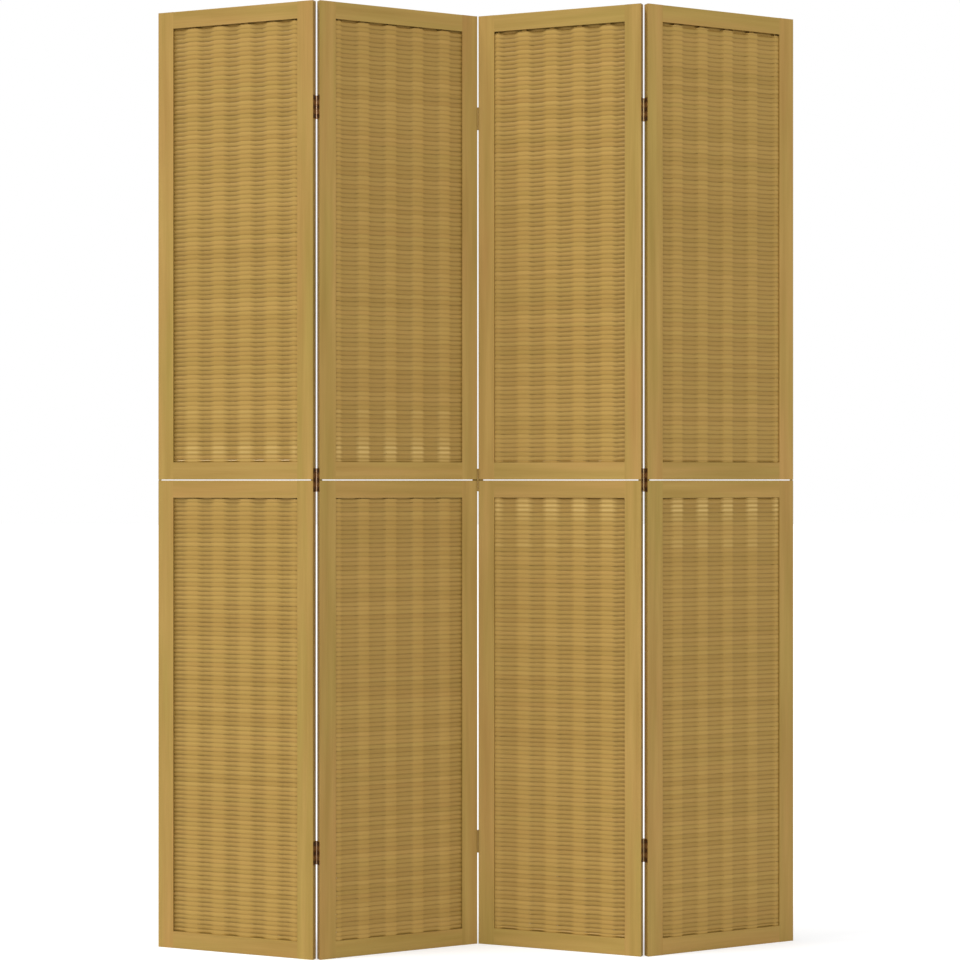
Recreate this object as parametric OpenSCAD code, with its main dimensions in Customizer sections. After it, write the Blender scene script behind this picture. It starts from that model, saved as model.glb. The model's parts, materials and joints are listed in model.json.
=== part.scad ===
// Folding room screen: four panels joined by butt hinges, each with a framed upper and lower tier
// that is filled with flat weave.
// A panel is drawn lying along X from its left edge, with its front face at Y = 0 and its foot at
// Z = 0, and is then set into the zigzag. The origin is on the floor, in the middle of the screen.

/* [Screen] */
// Height of the whole screen
overall_h = 1800; // [1500:5:2100]
// Width of one panel
panel_w = 328.8; // [300:0.1:450]
// Angle of each panel to the line in which the screen stands
panel_angle = 23.5; // [5:0.5:80]
// Clear gap between the upper and the lower tier of a panel
tier_gap = 1.85; // [0.8:0.05:3]

/* [Frames] */
// Thickness of the stiles and rails
frame_t = 13.7; // [12.5:0.1:20]
// Width of a stile, seen from the front
stile_w = 32.5; // [26:0.5:45]
// Height of the top rail and of the bottom rail
end_rail_h = 32; // [24:0.5:50]
// Height of the two rails that meet at mid-height
mid_rail_h = 33; // [24:0.5:50]
// Width of the groove along the inner edges of stiles and rails
groove_w = 7; // [6:0.1:8]
// Depth of that groove, and length of the tenons on the rails
groove_depth = 6; // [4:0.5:10]
// Chamfer on the outer long edges of stiles and rails
edge_chamfer = 0.6; // [0.5:0.05:1]

/* [Weave] */
// Rows of weave in one tier
row_count = 98; // [60:1:110]
// Whole stakes behind the rows of one tier, beside the one at its stile
stake_count = 4; // [3:1:6]
// Width of the last open column, as a share of the distance between stakes
last_column = 0.68; // [0.6:0.01:0.9]
// Clear gap between two rows
row_gap = 0.4; // [0.2:0.1:0.9]
// Distance of the weave's foremost and rearmost faces from the frame's faces
weave_inset = 0.8; // [0.3:0.1:1.5]
// Thickness of a row midway between two stakes
row_edge_t = 0.8; // [0.5:0.1:1.5]
// Width of a stake
stake_w = 20; // [12:0.5:26]
// Clearance of a stake's back in the groove
stake_clearance = 0.1; // [0.05:0.05:0.3]
// How far stakes and rows enter the grooves
weave_entry = 5; // [2:0.5:6]
// Thickness of the back layer between the stakes
back_layer_t = 1.5; // [1:0.1:2]
// Clearance between the rows and the back layer
layer_clearance = 0.2; // [0.1:0.05:0.5]

/* [Hinges] */
// Length of a hinge along the fold
hinge_l = 44; // [36:1:60]
// Distance of the outer hinges' centres from the ends of the screen
hinge_end = 199; // [100:1:300]
// Thickness of a hinge leaf
leaf_t = 0.8; // [0.8:0.05:1.2]
// Depth of the recess in a stile's edge that a leaf is let into
leaf_recess = 0.5; // [0.3:0.05:0.6]
// Distance of a leaf's free edge from the face away from the barrel
leaf_inset = 1.2; // [0.8:0.1:3]
// Clearance between two closed leaves
leaf_clearance = 0.4; // [0.2:0.05:0.6]
// Clearance of a leaf or a joining plate round its edges in its recess
recess_clearance = 0.1; // [0.05:0.05:0.3]
// Radius of the barrel
barrel_r = 1.6; // [1.5:0.05:1.7]
// Distance of the barrel's axis in front of the frame's face
axis_out = 1.4; // [1.3:0.05:1.8]
// Radius of the hinge pin
pin_r = 0.75; // [0.6:0.05:0.9]
// Radial clearance of the turning knuckles on the pin
pin_clearance = 0.05; // [0.02:0.01:0.1]
// Gap between two knuckles, and of a leaf round the other leaf's knuckles
knuckle_gap = 0.2; // [0.1:0.05:0.4]
// Knuckles of one hinge, on both leaves together
knuckle_count = 5; // [3:2:7]

/* [Joining plates] */
// Length of the plate that ties the two tiers together on an outer edge
plate_l = 44; // [30:1:60]
// Width of that plate
plate_w = 9; // [7:0.5:10]
// Thickness of the plate, let in flush with the edge
plate_t = 0.9; // [0.8:0.1:2]

/* [Screws] */
// Distance of the outer screws from the ends of a hinge leaf
screw_end = 5; // [4:0.5:8]
// Length of a screw
screw_l = 8.3; // [6:0.1:16]
// Radius of a screw's shank
screw_r = 1.2; // [0.8:0.1:1.6]
// Radius of its countersunk head
screw_head_r = 2.3; // [1.8:0.1:3]
// Height of that head
screw_head_h = 0.75; // [0.5:0.05:0.8]
// Length of its pointed end
screw_tip_l = 1.5; // [0.8:0.1:3]
// Width of the slot in the head
slot_w = 0.6; // [0.4:0.1:0.8]
// Depth of that slot
slot_depth = 0.35; // [0.2:0.05:0.4]
// Clearance of a screw in its holes
screw_clearance = 0.05; // [0.03:0.01:0.1]

/* [Hidden] */
$fn = 32;
LAST = 3;
PANELS = [0:LAST];
FOLDS = [0:LAST - 1];
TIERS = [0:1];
TIER_NAMES = ["lower", "upper"];
LEFT = 0;
RIGHT = 1;
wood = [0.71, 0.57, 0.33];
weave = [0.68, 0.55, 0.31];
dark_metal = [0.17, 0.12, 0.1];
pin_metal = [0.52, 0.47, 0.43];
// How far a cut runs past the surface that it opens
past = 1;

frame_h = (overall_h - tier_gap) / 2;
opening_w = panel_w - 2 * stile_w;
opening_h = frame_h - end_rail_h - mid_rail_h;
mid_depth = frame_t / 2;
row_pitch = opening_h / row_count;
row_h = row_pitch - row_gap;
stake_pitch = opening_w / (stake_count + last_column);
stake_t = groove_w / 2 - stake_clearance;
weave_end = panel_w - stile_w + weave_entry;
leaf_out = leaf_t - leaf_recess;
fold_gap = 2 * leaf_out + leaf_clearance;
axis_depth = frame_t + axis_out;
knuckle_h = (hinge_l - (knuckle_count - 1) * knuckle_gap) / knuckle_count;
hinge_heights = [hinge_end, overall_h / 2, overall_h - hinge_end];
screw_pitch = hinge_l / 2 - screw_end;

// Directions along a panel and from its front to its back, and the place of its front left corner
function turn(p) = (p % 2 == 0 ? -1 : 1) * panel_angle;
function along(p) = [cos(turn(p)), sin(turn(p))];
function inward(p) = [-sin(turn(p)), cos(turn(p))];
function folds_to_back(f) = f % 2 == 0;
function fold_depth(f) = folds_to_back(f) ? axis_depth : -axis_out;
function fold_axis(f) =
    corner(f) + (panel_w + fold_gap / 2) * along(f) + fold_depth(f) * inward(f);
function corner(p) = p == 0 ? [0, 0]
    : fold_axis(p - 1) + fold_gap / 2 * along(p) - fold_depth(p - 1) * inward(p);

outer_corners = [for (p = PANELS, x = [0, panel_w], y = [0, frame_t])
    corner(p) + x * along(p) + y * inward(p)];
corner_xs = [for (c = outer_corners) c[0]];
corner_ys = [for (c = outer_corners) c[1]];
centre = [(min(corner_xs) + max(corner_xs)) / 2, (min(corner_ys) + max(corner_ys)) / 2];

function tier_z(t) = t * (frame_h + tier_gap);
function bottom_rail_h(t) = t == 0 ? end_rail_h : mid_rail_h;
function top_rail_h(t) = t == 0 ? mid_rail_h : end_rail_h;
function opening_z(t) = tier_z(t) + bottom_rail_h(t);

// Edges with a hinge, and the heights of the screws in each edge
function hinged(p, side) = side == LEFT ? p > 0 : p < LAST;
function edge_screws(p, side) = hinged(p, side)
    ? [for (z = hinge_heights, k = [-1:1]) z + k * screw_pitch]
    : [for (k = [-1, 1]) overall_h / 2 + k * plate_l / 4];

// Panels whose weave starts at their right stile
function starts_right(p) = p == 0 || p == LAST;
function stake_x(k) = stile_w + k * stake_pitch;

function stile_name(p, t, side) = str(side == LEFT ? "left" : "right", "_stile_", p + 1, "_", TIER_NAMES[t]);
function top_rail_name(p, t) = str("top_rail_", p + 1, "_", TIER_NAMES[t]);
function bottom_rail_name(p, t) = str("bottom_rail_", p + 1, "_", TIER_NAMES[t]);
function rows_name(p) = str("weave_rows_", p + 1);
function back_name(p) = str("weave_back_", p + 1);
function stakes_name(p) = str("stakes_", p + 1);
function leaf_name(f, side) = str("hinge_leaves_", f + 1, "_", side == LEFT ? "left" : "right");
function pins_name(f) = str("hinge_pins_", f + 1);
function plate_name(p) = str("joining_plate_", p + 1);
function screws_name(p) = str("screws_", p + 1);

module on_panel(p) {
    translate([corner(p)[0] - centre[0], corner(p)[1] - centre[1], 0])
        rotate(turn(p))
            children();
}

// What is drawn for a left edge, with wood at X > 0, put on either edge of a panel
module at_edge(side) {
    translate([side == RIGHT ? panel_w : 0, 0, 0])
        mirror([side == RIGHT ? 1 : 0, 0, 0])
            children();
}

// What is drawn for a barrel behind the panel, put behind or in front of it
module at_fold_side(f) {
    translate([0, folds_to_back(f) ? 0 : frame_t, 0])
        mirror([0, folds_to_back(f) ? 0 : 1, 0])
            children();
}

// Outline of a stile or rail across its length, from its outer edge to its grooved inner edge
function grooved_section(w) = [
    [edge_chamfer, 0],
    [w, 0],
    [w, mid_depth - groove_w / 2],
    [w - groove_depth, mid_depth - groove_w / 2],
    [w - groove_depth, mid_depth + groove_w / 2],
    [w, mid_depth + groove_w / 2],
    [w, frame_t],
    [edge_chamfer, frame_t],
    [0, frame_t - edge_chamfer],
    [0, edge_chamfer]
];

// Screw hole along +X from the outer face of a leaf or plate, with its countersink
module countersunk_hole(depth) {
    head_r = screw_head_r + screw_clearance;
    shank_r = screw_r + screw_clearance;
    rotate([0, 90, 0])
        rotate_extrude()
            polygon([
                [0, -past],
                [head_r, -past],
                [head_r, screw_clearance],
                [shank_r, screw_head_h + screw_clearance],
                [shank_r, depth],
                [0, depth]
            ]);
}

// Screw along +X, its head just below the face that it is sunk into
module screw() {
    difference() {
        rotate([0, 90, 0])
            rotate_extrude()
                polygon([
                    [0, screw_clearance],
                    [screw_head_r, screw_clearance],
                    [screw_r, screw_head_h],
                    [screw_r, screw_l - screw_tip_l],
                    [0, screw_l]
                ]);
        translate([0, -screw_head_r - past, -slot_w / 2])
            cube([slot_depth + screw_clearance, 2 * (screw_head_r + past), slot_w]);
    }
}

// Whether a fitting at height z, reaching l up and down, touches a tier
function reaches(t, z, l) = abs(z - tier_z(t) - frame_h / 2) < frame_h / 2 + l;

// Recess along a left edge, centred on height z, between two depths in the panel
module edge_recess(depth, z, l, y0, y1) {
    translate([-past, y0, z - l / 2 - recess_clearance])
        cube([past + depth, y1 - y0, l + 2 * recess_clearance]);
}

// Holes and recesses that the fittings of one edge need in the stile
module edge_cuts(p, t, side) {
    for (z = edge_screws(p, side))
        if (reaches(t, z, tier_gap))
            translate([-past, mid_depth, z])
                rotate([0, 90, 0])
                    cylinder(r = screw_r + screw_clearance, h = past + screw_l + past);
    if (hinged(p, side)) {
        for (z = hinge_heights)
            if (reaches(t, z, hinge_l / 2))
                at_fold_side(side == LEFT ? p - 1 : p)
                    edge_recess(leaf_recess, z, hinge_l, leaf_inset - recess_clearance, frame_t + past);
    } else {
        half_w = plate_w / 2 + recess_clearance;
        edge_recess(plate_t, overall_h / 2, plate_l, mid_depth - half_w, mid_depth + half_w);
    }
}

module stile(p, t, side) {
    color(wood)
        on_panel(p)
            at_edge(side)
                difference() {
                    translate([0, 0, tier_z(t)])
                        linear_extrude(frame_h)
                            polygon(grooved_section(stile_w));
                    edge_cuts(p, t, side);
                }
}

// Rail with its outer edge down, and a core that ends in a tenon in the groove of each stile
module rail_piece(h) {
    translate([stile_w, 0, 0])
        rotate([90, 0, 90])
            linear_extrude(opening_w)
                polygon([for (q = grooved_section(h)) [q[1], q[0]]]);
    translate([stile_w - groove_depth, mid_depth - groove_w / 2, 0])
        cube([opening_w + 2 * groove_depth, groove_w, h - groove_depth]);
}

module bottom_rail(p, t) {
    color(wood)
        on_panel(p)
            translate([0, 0, tier_z(t)])
                rail_piece(bottom_rail_h(t));
}

module top_rail(p, t) {
    color(wood)
        on_panel(p)
            translate([0, 0, tier_z(t) + frame_h])
                mirror([0, 0, 1])
                    rail_piece(top_rail_h(t));
}

// Outline of one row from above: forward over every stake, and back between them
row_outline = concat(
    [for (k = [0:stake_count]) each [
        [stake_x(k), weave_inset],
        [stake_x(k + 0.5), mid_depth - row_edge_t]
    ]],
    [[weave_end, mid_depth - row_edge_t], [weave_end, mid_depth], [stake_x(0), mid_depth]]
);

// One face of the back layer from above, at one depth over the stakes and another between them
function layer_face(over_stakes, between) = [for (k = [0:stake_count]) each [
    [max(stake_x(k) - stake_w / 2 - past, stake_x(0)), over_stakes],
    [stake_x(k) + stake_w / 2 + past, over_stakes],
    [stake_x(k + 0.5) - past, between],
    [k < stake_count ? stake_x(k + 0.5) + past : weave_end, between]
]];
back_layer_inside = layer_face(mid_depth + stake_t, mid_depth + layer_clearance);
back_layer_outside = layer_face(frame_t - weave_inset, mid_depth + layer_clearance + back_layer_t);
back_layer_outline = concat(
    back_layer_outside,
    [for (i = [len(back_layer_inside) - 1:-1:0]) back_layer_inside[i]]
);

// What is drawn from the stile that the weave starts at, for both tiers
module in_openings(p) {
    on_panel(p)
        at_edge(starts_right(p) ? RIGHT : LEFT)
            for (t = TIERS)
                translate([0, 0, opening_z(t)])
                    children();
}

module weave_rows(p) {
    color(weave)
        in_openings(p)
            for (r = [0:row_count - 1])
                translate([0, 0, r * row_pitch + row_gap / 2])
                    linear_extrude(row_h)
                        polygon(row_outline);
}

// Layer behind the stakes, which closes the gaps between the rows
module weave_back(p) {
    color(weave)
        in_openings(p)
            linear_extrude(opening_h)
                polygon(back_layer_outline);
}

// The first stake lies half in the groove of its stile
module stakes(p) {
    color(weave)
        in_openings(p)
            for (k = [0:stake_count]) {
                start = k == 0 ? stake_x(0) - weave_entry : stake_x(k) - stake_w / 2;
                translate([start, mid_depth, -weave_entry])
                    cube([stake_x(k) + stake_w / 2 - start, stake_t, opening_h + 2 * weave_entry]);
            }
}

function knuckle_z(k) = k * (knuckle_h + knuckle_gap) - hinge_l / 2;

// Leaf on a left edge with its barrel behind the panel, centred on its own height
module hinge_leaf(first_knuckle, bore_r) {
    other_knuckle = 1 - first_knuckle;
    difference() {
        union() {
            translate([-leaf_out, leaf_inset, -hinge_l / 2])
                cube([leaf_t, axis_depth - leaf_inset, hinge_l]);
            for (k = [first_knuckle:2:knuckle_count - 1])
                translate([-fold_gap / 2, axis_depth, knuckle_z(k)])
                    cylinder(r = barrel_r, h = knuckle_h);
        }
        for (k = [other_knuckle:2:knuckle_count - 1])
            translate([-fold_gap / 2, axis_depth, knuckle_z(k) - knuckle_gap])
                cylinder(r = barrel_r + knuckle_gap, h = knuckle_h + 2 * knuckle_gap);
        translate([-fold_gap / 2, axis_depth, -hinge_l / 2 - past])
            cylinder(r = bore_r, h = hinge_l + 2 * past);
        for (k = [-1:1])
            translate([-leaf_out, mid_depth, k * screw_pitch])
                countersunk_hole(leaf_t + past);
    }
}

// Leaves on the right edge of the panel left of a fold; the pins are fixed in them
module left_leaves(f) {
    color(dark_metal)
        on_panel(f)
            at_edge(RIGHT)
                at_fold_side(f)
                    for (z = hinge_heights)
                        translate([0, 0, z])
                            hinge_leaf(0, pin_r);
}

// Leaves on the left edge of the panel right of a fold; they turn on the pins
module right_leaves(f) {
    color(dark_metal)
        on_panel(f + 1)
            at_edge(LEFT)
                at_fold_side(f)
                    for (z = hinge_heights)
                        translate([0, 0, z])
                            hinge_leaf(1, pin_r + pin_clearance);
}

module hinge_pins(f) {
    color(pin_metal)
        on_panel(f)
            for (z = hinge_heights)
                translate([panel_w + fold_gap / 2, fold_depth(f), z - hinge_l / 2])
                    cylinder(r = pin_r, h = hinge_l);
}

// Plate that ties the two tiers together, let into an outer edge
module joining_plate(p) {
    color(wood)
        on_panel(p)
            at_edge(p == 0 ? LEFT : RIGHT)
                difference() {
                    translate([0, mid_depth - plate_w / 2, (overall_h - plate_l) / 2])
                        cube([plate_t, plate_w, plate_l]);
                    for (z = edge_screws(p, p == 0 ? LEFT : RIGHT))
                        translate([0, mid_depth, z])
                            countersunk_hole(plate_t + past);
                }
}

module screws(p) {
    color(pin_metal)
        on_panel(p)
            for (side = [LEFT, RIGHT])
                at_edge(side)
                    for (z = edge_screws(p, side))
                        translate([hinged(p, side) ? -leaf_out : 0, mid_depth, z])
                            screw();
}

for (p = PANELS, t = TIERS) {
    for (side = [LEFT, RIGHT])
        stile(p, t, side);
    top_rail(p, t);
    bottom_rail(p, t);
}
for (p = PANELS) {
    weave_rows(p);
    weave_back(p);
    stakes(p);
    screws(p);
}
for (f = FOLDS) {
    left_leaves(f);
    right_leaves(f);
    hinge_pins(f);
}
for (p = [0, LAST])
    joining_plate(p);
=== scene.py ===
"""Folding wooden room screen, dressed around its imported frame.

The screen stands in a zigzag of four hinged panels. Each panel has an upper and a lower framed tier,
filled with flat wood strips that are woven over upright stakes. The stiles, rails, hinge leaves, pins,
screws and joining plates keep the frame's own solids and get their finishes here. The weave is built
here in full, strip by strip, in place of the frame's plainer rows, back layers and stakes.

A piece is built in its panel's own coordinates, in metres: X from the panel's left edge, Y from its
front face towards its back, Z up from the floor. It is then set in place as the panel stands.
"""

from __future__ import annotations

import json
import logging
import math
import random
from dataclasses import dataclass, field
from enum import Enum

import bmesh
import bpy
from mathutils import Euler, Matrix, Vector, noise

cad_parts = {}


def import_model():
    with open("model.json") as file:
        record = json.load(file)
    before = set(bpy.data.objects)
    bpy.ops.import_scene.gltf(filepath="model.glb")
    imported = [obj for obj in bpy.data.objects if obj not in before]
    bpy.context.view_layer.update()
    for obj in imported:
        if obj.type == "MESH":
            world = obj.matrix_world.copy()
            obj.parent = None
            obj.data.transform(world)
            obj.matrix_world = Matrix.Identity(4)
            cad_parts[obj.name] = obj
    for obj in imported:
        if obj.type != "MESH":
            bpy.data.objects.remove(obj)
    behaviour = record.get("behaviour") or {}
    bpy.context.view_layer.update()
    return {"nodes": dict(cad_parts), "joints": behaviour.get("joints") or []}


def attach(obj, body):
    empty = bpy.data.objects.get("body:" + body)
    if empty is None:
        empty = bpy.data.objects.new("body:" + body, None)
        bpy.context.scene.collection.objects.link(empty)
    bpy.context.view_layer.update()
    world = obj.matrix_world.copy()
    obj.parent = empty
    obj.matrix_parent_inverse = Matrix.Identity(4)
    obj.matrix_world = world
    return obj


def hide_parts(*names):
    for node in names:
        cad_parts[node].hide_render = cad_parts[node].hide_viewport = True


log = logging.getLogger("folding_screen")

BMesh = bmesh.types.BMesh
Material = bpy.types.Material
Piece = bpy.types.Object
Socket = bpy.types.NodeSocket
Colour = tuple[float, float, float]

BLACK = (0.0, 0.0, 0.0, 1.0)
WHITE = (1.0, 1.0, 1.0, 1.0)


class Tier(Enum):
    """The two framed parts of a panel, named as the frame's nodes are."""

    LOWER = "lower"
    UPPER = "upper"


class Layer(Enum):
    """The two layers of strips that enclose the stakes."""

    FRONT = "front"
    BACK = "back"


class Grain(Enum):
    """Which way the grain of a piece runs in its panel."""

    UPRIGHT = "upright"
    LEVEL = "level"


@dataclass(frozen=True)
class Opening:
    """What sets the weave of one opening apart, as the photo shows it.

    Attributes:
        shift: How far its strips are shifted up, in rows.
        end_gap: The open line between its last strip and the rail above it, in metres.
        painted_glint: Strength of the painted highlight on its strips nearest the middle of the screen, from
            0 to 1.
    """

    shift: float
    end_gap: float
    painted_glint: float = 0.0


@dataclass(frozen=True)
class Bends:
    """How the strips of one panel bend round its stakes, in metres.

    Attributes:
        drift: How far the whole stakes stand from their even places, away from the weave's first stile.
        hold: Half the width that a strip lies flat on over a stake.
        shoulder: Width of the bend beside a stake.
    """

    drift: float
    hold: float
    shoulder: float


OPENINGS = {
    (1, Tier.LOWER): Opening(shift=0.0, end_gap=0.0018),
    (1, Tier.UPPER): Opening(shift=-0.29, end_gap=0.0026, painted_glint=0.65),
    (2, Tier.LOWER): Opening(shift=-0.05, end_gap=0.0016),
    (2, Tier.UPPER): Opening(shift=-0.28, end_gap=0.0024, painted_glint=0.95),
    (3, Tier.LOWER): Opening(shift=-0.27, end_gap=0.0003, painted_glint=0.85),
    (3, Tier.UPPER): Opening(shift=0.42, end_gap=0.0036),
    (4, Tier.LOWER): Opening(shift=-0.31, end_gap=0.0003, painted_glint=1.0),
    (4, Tier.UPPER): Opening(shift=0.35, end_gap=0.0032),
}

BENDS = {
    1: Bends(drift=-0.0026, hold=0.0084, shoulder=0.0125),
    2: Bends(drift=0.0012, hold=0.0088, shoulder=0.007),
    3: Bends(drift=0.0033, hold=0.0088, shoulder=0.0105),
    4: Bends(drift=0.0046, hold=0.0088, shoulder=0.007),
}

# Strength of the painted highlight on the first strips of an opening that has one, from the rail in the
# middle of the screen on.
PAINTED_GLINT_STRIPS = (0.45, 0.6, 1.0, 1.0, 0.5, 0.45, 0.1, 0.1, 0.1, 0.1, 0.3, 0.4)


@dataclass(frozen=True)
class Panel:
    """One panel of the screen, as it stands at rest.

    Attributes:
        number: The panel's number from the left, starting at 1.
        angle: Its turn about Z, in radians.
        corner: Where its front left edge meets the floor.
        width: Its width.
        starts_right: Whether its weave starts at the right stile.
    """

    number: int
    angle: float
    corner: Vector
    width: float
    starts_right: bool

    @property
    def body(self) -> str:
        """Name of the moving body that this panel is."""
        return f"panel_{self.number}"

    @property
    def along(self) -> Vector:
        """Direction from the panel's left edge to its right one."""
        return Vector((math.cos(self.angle), math.sin(self.angle), 0))

    def grain_turn(self, grain: Grain) -> Euler:
        """Returns the rotation for a Mapping node that brings a piece's grain to Z."""
        over = Matrix.Identity(3) if grain is Grain.UPRIGHT else Matrix.Rotation(-math.pi / 2, 3, "Y")
        return (over @ Matrix.Rotation(-self.angle, 3, "Z")).to_euler()

    def take_in(self, mesh: BMesh, foot: float) -> None:
        """Sets what fills an opening in its place, with its faces outwards.

        Args:
            mesh: A bmesh whose X runs from the weave's first stile, and whose Z starts at the opening.
            foot: Height of the opening's lower edge above the floor.
        """
        place = Matrix.Translation(self.corner) @ Matrix.Rotation(self.angle, 4, "Z")
        if self.starts_right:
            place = place @ Matrix.Translation((self.width, 0, 0)) @ Matrix.Scale(-1, 4, (1, 0, 0))
        place = place @ Matrix.Translation((0, 0, foot))
        bmesh.ops.transform(mesh, matrix=place, verts=mesh.verts[:])
        bmesh.ops.recalc_face_normals(mesh, faces=mesh.faces[:])


@dataclass(frozen=True)
class ScreenSizes:
    """Sizes of the screen's frames that its weave and fittings follow, in metres."""

    height: float = 1.8
    panel_width: float = 0.3288
    frame_thickness: float = 0.0137
    tier_gap: float = 0.00185
    stile_width: float = 0.0325
    end_rail: float = 0.032
    mid_rail: float = 0.033
    fold_gap: float = 0.001
    axis_out: float = 0.0014

    @property
    def frame_height(self) -> float:
        """Height of one tier's frame."""
        return (self.height - self.tier_gap) / 2

    @property
    def opening_height(self) -> float:
        """Height of one tier's opening."""
        return self.frame_height - self.end_rail - self.mid_rail

    @property
    def opening_width(self) -> float:
        """Width of an opening."""
        return self.panel_width - 2 * self.stile_width

    def opening_foot(self, tier: Tier) -> float:
        """Returns the height of the lower edge of a tier's opening above the floor."""
        upper = self.frame_height + self.tier_gap + self.mid_rail
        return self.end_rail if tier is Tier.LOWER else upper

    def panels(self, joints: list[dict]) -> list[Panel]:
        """Places every panel from the frame's fold joints.

        Args:
            joints: The frame's joints, from left to right.

        Returns:
            The panels from left to right.
        """
        angle = math.radians(-joints[0]["range_deg"][0] / 2)
        placed = []
        for index in range(len(joints) + 1):
            turn = angle if index % 2 else -angle
            along = Vector((math.cos(turn), math.sin(turn), 0))
            inward = Vector((-along.y, along.x, 0))
            fold = max(index - 1, 0)
            axis = Vector(joints[fold]["pos_m"])
            axis.z = 0
            depth = -self.axis_out if fold % 2 else self.frame_thickness + self.axis_out
            run = self.fold_gap / 2 if index else -self.panel_width - self.fold_gap / 2
            corner = axis + run * along - depth * inward
            placed.append(Panel(index + 1, turn, corner, self.panel_width, index in (0, len(joints))))
        return placed


class Nodes:
    """A shader node tree under construction."""

    def __init__(self, tree: bpy.types.NodeTree) -> None:
        """Starts on an emptied tree."""
        self.tree = tree
        tree.nodes.clear()

    def add(self, kind: str, inputs: dict | None = None, **settings: object) -> bpy.types.Node:
        """Adds a node.

        Args:
            kind: The node's type name.
            inputs: Values or output sockets for its input sockets, by name or index.
            **settings: Properties of the node itself.

        Returns:
            The new node.
        """
        node = self.tree.nodes.new(kind)
        for name, value in settings.items():
            setattr(node, name, value)
        for key, value in (inputs or {}).items():
            if isinstance(value, Socket):
                self.tree.links.new(value, node.inputs[key])
            else:
                node.inputs[key].default_value = value
        return node

    def math(self, operation: str, *values: object) -> Socket:
        """Adds a Math node on these numbers or sockets, and returns its output."""
        return self.add("ShaderNodeMath", dict(enumerate(values)), operation=operation).outputs[0]

    def blend(self, share: object, first: object, second: object, mode: str = "MIX") -> Socket:
        """Mixes two colours, with a share from 0 to 1 of the second, and returns the result."""
        # The Mix node keeps its sockets for colours at these places.
        colours = {0: share, 6: first, 7: second}
        return self.add("ShaderNodeMix", colours, data_type="RGBA", blend_type=mode).outputs[2]

    def spread(self, value: object, low: float, high: float) -> Socket:
        """Maps a value that runs from 0 to 1 onto the range from low to high."""
        mapped = self.add("ShaderNodeMapRange", {"Value": value, "To Min": low, "To Max": high})
        return mapped.outputs[0]

    def around(self, value: object, middle: float, reach: float) -> Socket:
        """Maps a value that runs from 0 to 1 onto a range that reaches to both sides of a middle."""
        return self.spread(value, middle - reach, middle + reach)

    def distance(self, x: Socket, y: Socket) -> Socket:
        """Returns the socket of how far the point (x, y) is from (0, 0)."""
        point = self.add("ShaderNodeCombineXYZ", {"X": x, "Y": y}).outputs[0]
        return self.add("ShaderNodeVectorMath", {0: point}, operation="LENGTH").outputs["Value"]

    def noise(self, where: Socket, scale: float, detail: float) -> Socket:
        """Adds a noise that is the same in all directions, and returns its value."""
        settings = {"Vector": where, "Scale": scale, "Detail": detail}
        return self.add("ShaderNodeTexNoise", settings).outputs[0]

    def attribute(self, name: str) -> Socket:
        """Returns the socket of a number that the mesh's vertices carry under this name."""
        return self.add("ShaderNodeAttribute", attribute_name=name).outputs["Fac"]


def new_material(name: str) -> tuple[Material, Nodes]:
    """Creates a material that has no nodes yet.

    Args:
        name: The material's name.

    Returns:
        The material and its node tree.
    """
    made = bpy.data.materials.new(name)
    made.use_nodes = True
    return made, Nodes(made.node_tree)


def opaque(colour: Colour) -> tuple[float, float, float, float]:
    """Returns a colour with full alpha."""
    return (*colour, 1.0)


class GrainGroup:
    """Node group for straight grain along Z: streaks, fine fibres, slow blotches and a slow cast."""

    NAME = "Straight grain"
    OLIVE = (0.94, 1.01, 0.92, 1.0)
    ROSE = (1.06, 0.98, 1.08, 1.0)

    def __init__(self) -> None:
        """Builds the group once, for every wood finish to share."""
        self.tree = bpy.data.node_groups.new(self.NAME, "ShaderNodeTree")
        face = self.tree.interface
        face.new_socket("Vector", in_out="INPUT", socket_type="NodeSocketVector")
        for name in ("Streak Scale", "Fibre Scale", "Seed"):
            face.new_socket(name, in_out="INPUT", socket_type="NodeSocketFloat")
        for name in ("Tone", "Fibre", "Blotch"):
            face.new_socket(name, in_out="OUTPUT", socket_type="NodeSocketFloat")
        face.new_socket("Cast", in_out="OUTPUT", socket_type="NodeSocketColor")
        nodes = Nodes(self.tree)
        given = nodes.add("NodeGroupInput").outputs
        slow = self.stretched(nodes, given, along=0.1, scale=30.0, detail=2.0)
        results = {
            "Cast": nodes.blend(nodes.spread(slow, low=-0.7, high=1.7), self.OLIVE, self.ROSE),
            "Tone": self.stretched(nodes, given, along=0.05, scale=given["Streak Scale"], detail=3.0),
            "Fibre": self.stretched(nodes, given, along=0.02, scale=given["Fibre Scale"], detail=2.0),
            "Blotch": self.stretched(nodes, given, along=0.3, scale=9.0, detail=1.0),
        }
        nodes.add("NodeGroupOutput", results)

    @staticmethod
    def stretched(nodes: Nodes, given: object, along: float, scale: object, detail: float) -> Socket:
        """Adds a noise that is drawn out along the grain.

        Args:
            nodes: The tree.
            given: The group's inputs.
            along: Scale along the grain, as a share of that across it.
            scale: Scale across the grain.
            detail: Octaves of detail.

        Returns:
            The noise's value socket.
        """
        drawn = nodes.add("ShaderNodeMapping", {"Vector": given["Vector"], "Scale": (1.0, 1.0, along)})
        settings = {"Vector": drawn.outputs[0], "W": given["Seed"], "Scale": scale, "Detail": detail}
        return nodes.add("ShaderNodeTexNoise", settings, noise_dimensions="4D").outputs[0]

    def place(self, nodes: Nodes, where: Socket, turn: Euler, settings: dict) -> object:
        """Puts the group into a material, with its grain turned to Z, and returns its outputs."""
        turned = nodes.add("ShaderNodeMapping", {"Vector": where, "Rotation": turn}).outputs[0]
        return nodes.add("ShaderNodeGroup", {"Vector": turned, **settings}, node_tree=self.tree).outputs


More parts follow.
